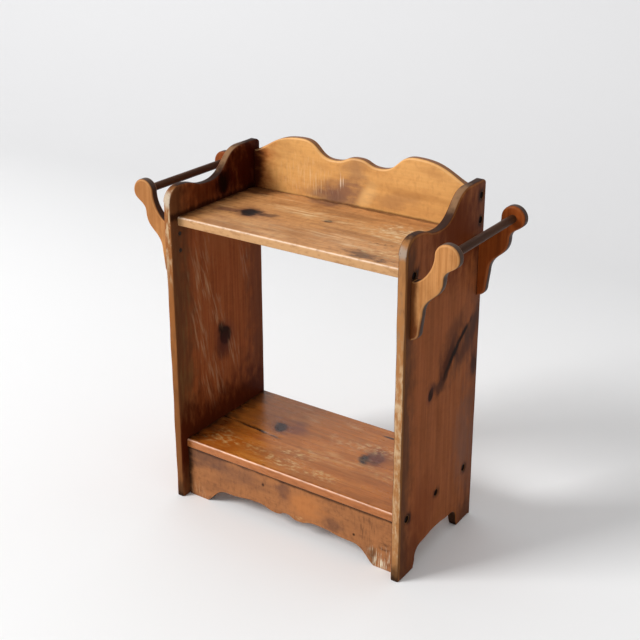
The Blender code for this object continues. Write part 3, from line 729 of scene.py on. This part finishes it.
# Planed pine under honey varnish, used as a shelf: a satin gleam, dry pale patches and a pale nose, partly
# rubbed and partly a painted highlight
upper_pine = pine(
    "honey_varnished_pine", early="#CC9058", late="#B87C44", deep="#7E4C26", pale="#E0B47C", rim="#C69868",
    crest="#F4D8BC", rim_depth=0.9, ragged=0.4, gloss=0.25, rough=0.38, ring_depth=0.15, broad_depth=0.2,
    stain_depth=0.4, mottle_depth=0.35, face=(UPPER_TOP, MARK_DEPTH),
    knots=[(-155, -25, 23, 19, -43), (5, 17, 9, 7)],
    marks=[
        ("#6B4034", 0.65, -198, -30, 55, 20, 10), ("#45261C", 0.8, -118, -17, 36, 12, 8),
        ("#170B07", 0.95, -157, -25, 46, 24, 30), ("streak", "#E3BE90", 0.75, -220, -12, 60, 18, 20),
        ("streak", "#E6C698", 0.75, -165, 88, 105, 28, -2),
        ("streak", "#E6C698", 0.75, -70, 40, 120, 32, -4), ("streak", "#E6C594", 0.8, 15, 32, 110, 32),
        ("flaky", "#EAD2A6", 1.0, 170, 34, 120, 62), ("streak", "#E3C096", 0.75, 60, -60, 170, 44),
        ("streak", "#DDB583", 0.65, -90, -92, 160, 30), ("#5E3C24", 0.35, 30, 70, 120, 16, 4),
        ("#6A4428", 0.3, 60, -12, 110, 14, -3), ("flaky", "#46301E", 0.95, 168, -36, 44, 20),
        ("#4E3220", 0.75, 166, -105, 70, 24, -14), ("flaky", "#3E281C", 0.95, 180, -104, 90, 24),
        ("flaky", "#E3C490", 0.9, 200, -78, 80, 30), ("#6E4A40", 0.6, -60, 108, 56, 22),
        # Painted shade: the last mark on the next line darkens the rear left corner, and the line after
        # darkens the shelf along the left side
        ("#5E3416", 0.75, 0, 128, 3000, 16), ("#4A2410", 0.8, -236, 108, 90, 46),
        ("#5A2C10", 0.6, -256, 20, 44, 3000), ("#2E1408", 0.85, -256, 0, 14, 3000),
        ("#8C5628", 0.45, 0, -70, 110, 36), ("#8A5426", 0.5, -140, -112, 110, 30),
        ("streak", "#EAD2A6", 0.8, 190, 22, 90, 62),
    ],
    rim_marks=[("flaky", "#9A6A40", 0.7, 0, -123, 3000, 30)],
)
# Planed pine under thick brown varnish: the glossiest board, amber in the corner, with pale chips and a pale
# nose, partly rubbed and partly a painted highlight
lower_pine = pine(
    "brown_varnished_pine", heart=(-30.0, -80.0), early="#BA6E27", late="#A65E1D", deep="#763C0E",
    pale="#C8863E", rim="#AC6838", crest="#F2BC9C", rim_depth=0.9, gloss=0.35, rough=0.27, broad_depth=0.35,
    stain_depth=0.45, face=(LOWER_TOP, MARK_DEPTH), ragged=0.35, knot="#45200F", halo="#6A3018",
    knots=[(-120, 25, 21, 17, 130), (114, 27, 25, 19, 118)],
    marks=[
        ("#743A24", 0.75, -89, 36, 46, 34, 127), ("#6E341C", 0.8, 117, 30, 32, 24, 118),
        ("#200A06", 0.9, -121, 24, 24, 18, 130), ("#1E0C06", 0.95, 96, 8, 30, 14, 122),
        ("#96490A", 0.75, -210, -75, 130, 80), ("flaky", "#D6B87C", 0.75, -192, -80, 60, 36, 12),
        ("flaky", "#D6B476", 0.75, -216, -54, 40, 24), ("flaky", "#D2AE72", 0.7, -110, -78, 64, 28),
        ("flaky", "#DDC088", 0.85, -18, -40, 92, 28, 14), ("flaky", "#DDC088", 0.85, -14, -88, 92, 30, 4),
        ("flaky", "#D6B67A", 0.75, 68, -90, 54, 22), ("flaky", "#CFAE80", 0.75, 40, 48, 90, 36, 8),
        ("flaky", "#CFAE80", 0.75, 120, 60, 90, 30), ("streak", "#C9A47C", 0.75, -112, 118, 80, 22),
        ("streak", "#C9A47C", 0.7, -100, 84, 70, 20), ("streak", "#C9A47C", 0.75, 20, 110, 90, 24),
        ("flaky", "#CDA970", 0.7, 160, -24, 60, 24), ("streak", "#CF9E66", 0.6, 60, -20, 160, 36),
        ("flaky", "#4A260E", 0.8, 0, -122, 3000, 7), ("#24120A", 0.95, 96, 117, 24, 4, 4),
        # Painted shade: the last mark on the next line and the mark after it darken the shelf along the left
        # side
        ("#241008", 0.95, -180, -8.0, 150, 7, -4.5), ("#3E1A08", 0.75, -256, 0, 50, 3000),
        ("#241008", 0.8, -256, 0, 14, 3000),
    ],
    rim_marks=[("scratch", "#86491F", 0.5, 0, -125, 3000, 30)],
)
# Planed pine under thin tan varnish: dull and clouded, darker along the top with painted shade under the
# shelf's nose, and bare at the right foot
apron_pine = pine(
    "tan_varnished_pine", turn=FRONT_GRAIN, heart=(40.0, -75.0), early="#A66C42", late="#9A6038",
    deep="#6A442E", pale="#B57E50", rim="#5E3C2A", crest="#5A3826", ring_depth=0.1, fibre_depth=0.1,
    pale_depth=0.1, broad_depth=0.15, upright_depth=0.12, stain_depth=0.4, mottle_depth=0.5, gloss=0.08,
    face=(-APRON_LOW[1], MARK_DEPTH),
    marks=[
        ("#1E100C", 0.95, -58, 88, 5.5, 6.5), ("#1E100C", 0.9, 160, 52, 4.5, 4.5),
        ("#5A3C34", 0.6, -5, 90, 24, 42), ("#5E4034", 0.6, 109, 54, 36, 20),
        ("#BC7640", 0.6, 48, 72, 60, 46), ("upright", "#4A3022", 0.7, 189, 68, 26, 50),
        ("flaky", "#4A2E20", 0.7, 236, 52, 34, 34), ("#46301F", 0.7, 203, 22, 16, 26),
        ("upright", "#E4D8BC", 1.0, 222, 18, 42, 38), ("#4E3832", 0.55, -225, 102, 110, 30),
        # Painted shade: the first mark on the next line darkens the top under the shelf's nose
        ("#2E1C14", 0.8, 0, 114, 3000, 8), ("flaky", "#CDA878", 0.8, 30, 37, 30, 12),
        ("#63453A", 0.35, -130, 92, 130, 36), ("upright", "#C9A078", 0.6, -235, 14, 36, 30),
        # Painted shade: the next mark darkens the left end where it meets the side
        ("#20120C", 0.85, -256, 60, 16, 3000),
    ],
)
# Planed pine under dark red-brown stain: nearly matt, so it stays deep; edges grimy above, rubbed in front
# The edges get darker towards the floor
DARKER_FOOT = [("#3A2618", 0.8, 0, -143, 60, 3000), ("#1C120C", 0.8, 0, -143, 16, 3000)]
WORN_TOP = [("#A07A58", 0.75, 700, 55, 70, 46), ("speck", "#5A463A", 0.7, 668, -138, 40, 30)]
SIDE = dict(turn=SIDE_GRAIN, rim="#4A3226", rim_reach=(0.75, 1.0), stain_depth=0.15, gloss=0.02)
left_pine = pine(
    "left_side_stained_pine", **SIDE, heart=(15.0, -60.0), early="#94502A", late="#864620", deep="#56280F",
    pale="#A06238", crest="#2E211C", ring_depth=0.3, face=(INNER_FACE, MARK_DEPTH), knot="#200E08",
    knots=[(320, 10, 25, 21, -30), (655, 20, 27, 19)],
    marks=[
        ("#54351F", 0.8, 330, -145, 3000, 78), ("streak", "#72502F", 0.7, 330, -118, 400, 40),
        ("#1C0C06", 0.9, 341, -4, 20, 16), ("#3E1A14", 0.7, 294, 0, 44, 34),
        # The second mark below deepens the lower face to red-brown, with painted shade against the lower
        # shelf
        ("#4A2E26", 0.55, 380, 150, 3000, 90), ("#461606", 0.92, 125, 20, 122, 3000),
        # Painted light: the first mark below brightens the face under the upper shelf. Painted shade: its
        # second mark, the next line's first and the first mark two lines on darken the boxed-in top and the
        # joint with the upper shelf
        ("#9A5C34", 0.5, 565, 10, 90, 110), ("#2E0400", 0.92, 670, 90, 140, 160),
        ("#3C0A02", 0.7, 660, -30, 80, 120), ("#120604", 0.95, 655, 20, 40, 30),
        ("#200A06", 0.8, 622, 0, 12, 3000), ("scratch", "#B28A66", 0.75, 440, -68, 50, 22, -14),
        ("scratch", "#B28A66", 0.8, 450, -48, 64, 20, -14),
        ("scratch", "#AA8260", 0.75, 390, -24, 58, 22, -14),
        ("scratch", "#AA8260", 0.8, 380, -8, 50, 20, -14),
        ("scratch", "#AA8260", 0.7, 380, -80, 60, 22, -14),
        ("scratch", "#9C765A", 0.7, 470, 82, 90, 18, -8),
        ("scratch", "#AA8260", 0.75, 335, -66, 70, 28, -14),
        ("scratch", "#AA8260", 0.75, 275, 39, 64, 22, -6), ("scratch", "#AA8260", 0.65, 235, -35, 80, 60),
        ("scratch", "#AA8260", 0.5, 500, -60, 110, 50),
    ],
    rim_marks=[
        ("#925C32", 1.0, 330, -146, 3000, 40), ("#6E4426", 0.7, 120, -143, 270, 40),
        ("scratch", "#D2B892", 0.8, 590, -143, 160, 24), ("speck", "#E3D2B6", 0.7, 600, -143, 130, 24),
        # The pale spot on the lobe, second on the next line, is partly worn lacquer and partly a painted
        # highlight
        ("scratch", "#7A5030", 0.6, 300, -143, 330, 20), ("#CDBDA6", 0.8, 658, -141, 24, 18), *WORN_TOP,
        *DARKER_FOOT,
    ],
)
plugs = [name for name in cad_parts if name.endswith("_plug")]
# Painted shade round the right side's plug holes, so that they look deep and dark
PLUG_HOLE_SHADE = [
    ("#1C100A", 0.9, height, depth, 18, 18)
    for _, depth, height in (middle_mm(name) for name in plugs if name.startswith("right"))
]
right_pine = pine(
    "right_side_stained_pine", **SIDE, heart=(-25.0, -66.0), early="#8C4E2A", late="#804422",
    deep="#583018", pale="#A06038", crest="#3A2A24", arris="#A4703E", arris_depth=0.3, ring_depth=0.2,
    fibre_depth=0.2, broad_depth=0.25, knot="#22100A", knots=[(352, -43, 15, 10, 20)],
    marks=[
        ("#4A3020", 0.8, 330, -148, 3000, 56), ("#46281C", 0.85, 406, 92, 104, 40, 52),
        ("#462C20", 0.75, 440, 122, 66, 32, 58), ("#34140A", 0.85, 396, 22, 86, 32, 42),
        ("#160803", 1.0, 431, 79, 50, 9, 57), ("#160803", 1.0, 400, 41, 58, 12, 46),
        ("#160803", 0.6, 368, 13, 44, 15, 38), ("#1E0E08", 0.9, 350, 130, 40, 22, -6),
        ("#4A2A1C", 0.6, 446, 40, 80, 36, 50), ("#40261C", 0.7, 356, -16, 18, 50, 20),
        ("#4A302A", 0.5, 380, 152, 3000, 70), ("#4A1400", 0.75, 640, 40, 130, 150),
        ("#2E180E", 0.45, 6, 118, 70, 70), ("#4A2616", 0.6, 30, -96, 110, 60),
        ("#6E4C3E", 0.55, 200, 98, 150, 56), ("#6A3014", 0.5, 110, -64, 120, 80),
        ("streak", "#8A5A3C", 0.6, 335, 44, 70, 44, 20), *PLUG_HOLE_SHADE,
    ],
    rim_marks=[
        ("#A87446", 1.0, 330, -146, 3000, 30), ("scratch", "#D2B48C", 0.65, 300, -143, 360, 24),
        ("flaky", "#DCC6A4", 0.55, 230, -140, 300, 24), ("speck", "#5A4030", 0.8, 230, -143, 330, 24),
        # The pale spot on the lobe, second on the next line, is partly worn lacquer and partly a painted
        # highlight
        ("scratch", "#7A5030", 0.6, 560, -143, 140, 24), ("#A89A8C", 0.75, 656, -141, 16, 14), *WORN_TOP,
        *DARKER_FOOT, *PLUG_HOLE_SHADE,
    ],
)
side_pine = {"left": left_pine, "right": right_pine}
# Sawn pine under stain, with near-black edges: tan on the front arms, while the rear arms are drawn
# red-brown as painted shade, since less light reaches them
ARM = dict(
    turn=ARM_GRAIN, heart=(300.0, -60.0), rim="#382A24", crest="#4C3E38", rim_reach=(0.85, 1.0),
    arris_depth=0.35, ring_depth=0.3, fibre_depth=0.4, gloss=0.08,
)
# Grime and painted shade at the root of the right front arm, darker low on the tails, and a darker patch on
# the left arm
ARM_GRIME_AND_SHADE = [
    ("#5A2A0C", 0.85, 550, 272, 3000, 20), ("#6A3412", 0.8, 492, 280, 56, 3000),
    ("#8A5228", 0.4, 650, -345, 160, 160),
]
front_arm_pine = pine(
    "stained_pine_front_arms", early="#C3864E", late="#AF723B", deep="#825026", pale="#D39C64",
    arris="#DCA46C", marks=ARM_GRIME_AND_SHADE, **ARM,
)
# A darker, redder copy for the rear arms, as painted shade
rear_arm_pine = pine(
    "stained_pine_rear_arms_painted_shade", early="#8E451A", late="#7C3711", deep="#56240A", pale="#A05826",
    arris="#8E5428", **ARM,
)
arm_pine = {"front": front_arm_pine, "rear": rear_arm_pine}
# Turned birch under dark stain: an even near-black brown with a faint sheen along its length
dowel_birch = pine(
    "dark_stained_birch_dowel", turn=DOWEL_GRAIN, early="#4A2C1A", late="#3C2214", deep="#22120A",
    pale="#5E3E28", rim_depth=0.0, gloss=0.06, rough=0.4,
)
# Sawn pine left bare: pale straw and matt
raw_pine = pine(
    "unfinished_pine", early="#CDB083", late="#B89566", deep="#9C7A50", pale="#DCC49A", rim_depth=0.0,
    rough=0.7,
)
# End grain of the plugs, almost black: partly old stain, partly painted shade for the hollow it sits in
plug_wood = pine(
    "dark_plug_end_grain", early="#140B07", late="#100805", deep="#0A0503", pale="#1C110B", rim_depth=0.0,
    rough=0.6, gloss=0.05,
)
# Turned steel gone dull: grey metal with little shine and brown specks, drawn coarser than real to show
screw_steel, screw_tree, screw_put = new_material("old_turned_steel")
steel = screw_tree.nodes["Principled BSDF"]
spot = screw_put("TexCoord", out="Object")
specks = screw_put("TexNoise", {"Vector": spot, "Scale": 1 / (RUST_SPECK * MM), "Detail": 3.0})
rust = screw_put("MapRange", {0: specks, 1: 0.45, 2: 0.7}, **SOFT)
shade = screw_put("Mix", {0: rust, 6: linear("#3E362F"), 7: linear("#4A2E1E")}, **RGBA)
screw_tree.links.new(shade, steel.inputs["Base Color"])
dull = screw_put("MapRange", {0: specks, 3: 0.4, 4: 0.7, **NOISE_MIDDLE})
screw_tree.links.new(dull, steel.inputs["Roughness"])
steel.inputs["Metallic"].default_value = 1.0

# The boards and what holds them
bracket_screws = [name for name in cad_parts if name.endswith("_screw") and "bracket" in name]
hidden_screws = [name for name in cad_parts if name.endswith("_screw") and "bracket" not in name]

for side, sign in SIDES:
    pegs = [name for name in plugs if name.startswith(side)]
    screws = [name for name in bracket_screws if name.startswith(side)]
    bores = [(*middle_mm(name)[1:], PLUG_BORE, BORE_DEPTH, sign) for name in pegs]
    bores += [(*middle_mm(name)[1:], SCREW_BORE, SCREW_SINK, -sign) for name in screws]
    shape = (side_moves(), BOARD, ROUND_OVER, bores, [(1, 0)])
    add_board(f"{side}_side_plank", f"{side}_side", "dark_pine", side_pine[side], SIDE_PLANE, *shape)

# A split goes from x to x and y to y, with a width and a depth; the upper shelf has none, so 0 deep
for name, split, material in (
    ("upper_shelf", (-255, -200, 60, 60, 2.0, 0.0), upper_pine),
    ("lower_shelf", (-255, -90, -1.5, -14, 2.0, 3.5), lower_pine),
):
    low, high = box_mm(name)
    points, faces, edge, crest = shelf(low[1], high[1], high[2], split)
    piece(f"{name}_plank", points, faces, material, "stand", [name], edge, crest)

shape = (gallery_moves(), BOARD, ROUND_OVER, (), [(1, 0), (-1, 0), (0, -1)])
add_board("gallery_board", "back_gallery", "gallery_pine", gallery_pine, FRONT_PLANE, *shape)
shape = (apron_moves(), BOARD, EASED)
add_board("apron_board", "front_apron", "apron_pine", apron_pine, FRONT_PLANE, *shape)

for side, sign in SIDES:
    for place in ("front", "rear"):
        node, arm = f"{side}_{place}_bracket", f"{side}_{place}_arm"
        shape = (arm_moves(sign), BOARD, ROUND_OVER, (), [(-sign, 0)])
        add_board(arm, node, "bracket_pine", arm_pine[place], FRONT_PLANE, *shape)

for side, sign in SIDES:
    ease = np.linspace(0, math.pi / 2, EASE_STEPS)
    length = BAR_HIGH[1] - BAR_LOW[1]
    near = np.stack((EASED * (1 - np.cos(ease)), BAR_RADIUS - EASED * (1 - np.sin(ease))), 1)
    shank = np.linspace(2 * EASED, length - 2 * EASED, DOWEL_STEPS)
    shank = np.stack((shank, np.full(DOWEL_STEPS, BAR_RADIUS)), 1)
    far = np.stack((length - near[::-1, 0], near[::-1, 1]), 1)
    profile = np.concatenate((near, shank, far)) - (length / 2, 0)
    points, faces = turned(profile, DOWEL_SIDES, DOWEL_WOBBLE)
    points = points @ DOWEL_PLANE.T + (sign * BAR_X, BAR_Y, BAR_HEIGHT)
    node = f"{side}_towel_bar"
    piece(f"{side}_towel_dowel", points, faces, dowel_birch, f"{side}_bar", [node])

    shape = (BLOCK_MOVES, BLOCK_HIGH[0] - BLOCK_LOW[0], EASED)
    add_board(f"{side}_corner_block", f"{side}_glue_block", "raw_pine", raw_pine, SIDE_PLANE, *shape)

for name in plugs:
    low, high = box_mm(name)
    sign = 1 if low[0] > 0 else -1
    length = high[0] - low[0]
    chamfer = [(length - PLUG_CHAMFER, PLUG_RADIUS), (length, PLUG_RADIUS - PLUG_CHAMFER)]
    points, faces = turned([(0, PLUG_RADIUS), *chamfer], HOLE_SIDES)
    middle = (low + high) / 2
    points = points * (sign, sign, 1) + (sign * min(abs(low[0]), abs(high[0])), middle[1], middle[2])
    piece(name.replace("_plug", "_peg"), points, faces, plug_wood, "stand", [name])

for name in hidden_screws + bracket_screws:
    low, high = box_mm(name)
    middle = (low + high) / 2
    inwards = 1 if (middle[0] > 0) == (name in bracket_screws) else -1
    head = low[0] if inwards > 0 else high[0]
    points, faces = wood_screw(high[0] - low[0])
    points = points * (-inwards, -inwards, 1) + (head, middle[1], middle[2])
    piece(name.replace("_screw", "_woodscrew"), points, faces, screw_steel, "stand", [name])

# Floor that sweeps up into the backdrop
sweep = np.linspace(0, math.pi / 2, SWEEP_STEPS)
curve = np.stack((FLOOR_BACK + SWEEP * np.sin(sweep), SWEEP * (1 - np.cos(sweep))), 1)
sheet = np.concatenate(([(FLOOR_FRONT, 0.0)], curve, [(FLOOR_BACK + SWEEP, WALL_TOP)]))
grid = np.empty((len(sheet), 2, 3))
grid[..., 0] = -FLOOR_HALF, FLOOR_HALF
grid[..., 1:] = sheet[:, None]
mesh = bpy.data.meshes.new("studio_sweep")
mesh.from_pydata(grid.reshape(-1, 3) * MM, [], grid_faces(len(sheet), 2, 0, False)[:, ::-1].tolist())
mesh.shade_smooth()
# Matt backdrop paper with no shine: white on the floor, greyer toward the wall as painted shade
paper, paper_tree, paper_put = new_material("matt_white_paper")
paper_shader = paper_tree.nodes["Principled BSDF"]
far = paper_put("SeparateXYZ", {0: paper_put("TexCoord", out="Object")}, out="Y")
fade = paper_put("MapRange", {0: far, 1: PAPER_FADE[0], 2: PAPER_FADE[1]}, **SOFT)
tone = paper_put("Mix", {0: fade, 6: linear("#F3F3F3"), 7: linear("#DADADB")}, **RGBA)
paper_tree.links.new(tone, paper_shader.inputs["Base Color"])
paper_shader.inputs["Roughness"].default_value = 0.95
paper_shader.inputs["Specular IOR Level"].default_value = 0.1
mesh.materials.append(paper)
backdrop = bpy.data.objects.new("studio_sweep", mesh)
bpy.context.scene.collection.objects.link(backdrop)


def aim(thing, spot, target, roll=0.0):
    """Puts a lamp or a camera at a spot, in millimetres, and turns its -Z to the target with its top up."""
    spot, target = Vector(spot) * MM, Vector(target) * MM
    turn = (target - spot).to_track_quat("-Z", "Y").to_matrix().to_4x4()
    thing.matrix_world = Matrix.Translation(spot) @ turn @ Matrix.Rotation(roll, 4, "Z")


lamp = bpy.data.lights.new("key_softbox", "AREA")
lamp.size = KEY_SIZE * MM
lamp.energy = KEY_WATTS
softbox = bpy.data.objects.new("key_softbox", lamp)
bpy.context.scene.collection.objects.link(softbox)
aim(softbox, KEY_SPOT, KEY_TARGET)
world = bpy.data.worlds.new("studio_fill")
world.use_nodes = True
sky = world.node_tree.nodes["Background"]
sky.inputs["Color"].default_value = linear("#FFFFFF")
sky.inputs["Strength"].default_value = FILL
scene = bpy.context.scene
scene.world = world
scene.view_settings.view_transform = "Standard"

azimuth, height = math.radians(CAMERA_AZIMUTH), math.radians(CAMERA_HEIGHT)
level = math.cos(height)
away = np.array((math.sin(azimuth) * level, -math.cos(azimuth) * level, math.sin(height)))
lens = bpy.data.cameras.new("photo_camera")
lens.sensor_width = SENSOR
lens.lens = CAMERA_FOCAL * lens.sensor_width / PHOTO
lens.shift_x = (PHOTO / 2 - CAMERA_CENTRE[0]) / PHOTO
lens.shift_y = (CAMERA_CENTRE[1] - PHOTO / 2) / PHOTO
lens.clip_end = CAMERA_FAR
camera = bpy.data.objects.new("photo_camera", lens)
scene.collection.objects.link(camera)
aim(camera, np.array(CAMERA_TARGET) + CAMERA_DISTANCE * away, CAMERA_TARGET, math.radians(CAMERA_ROLL))
scene.camera = camera
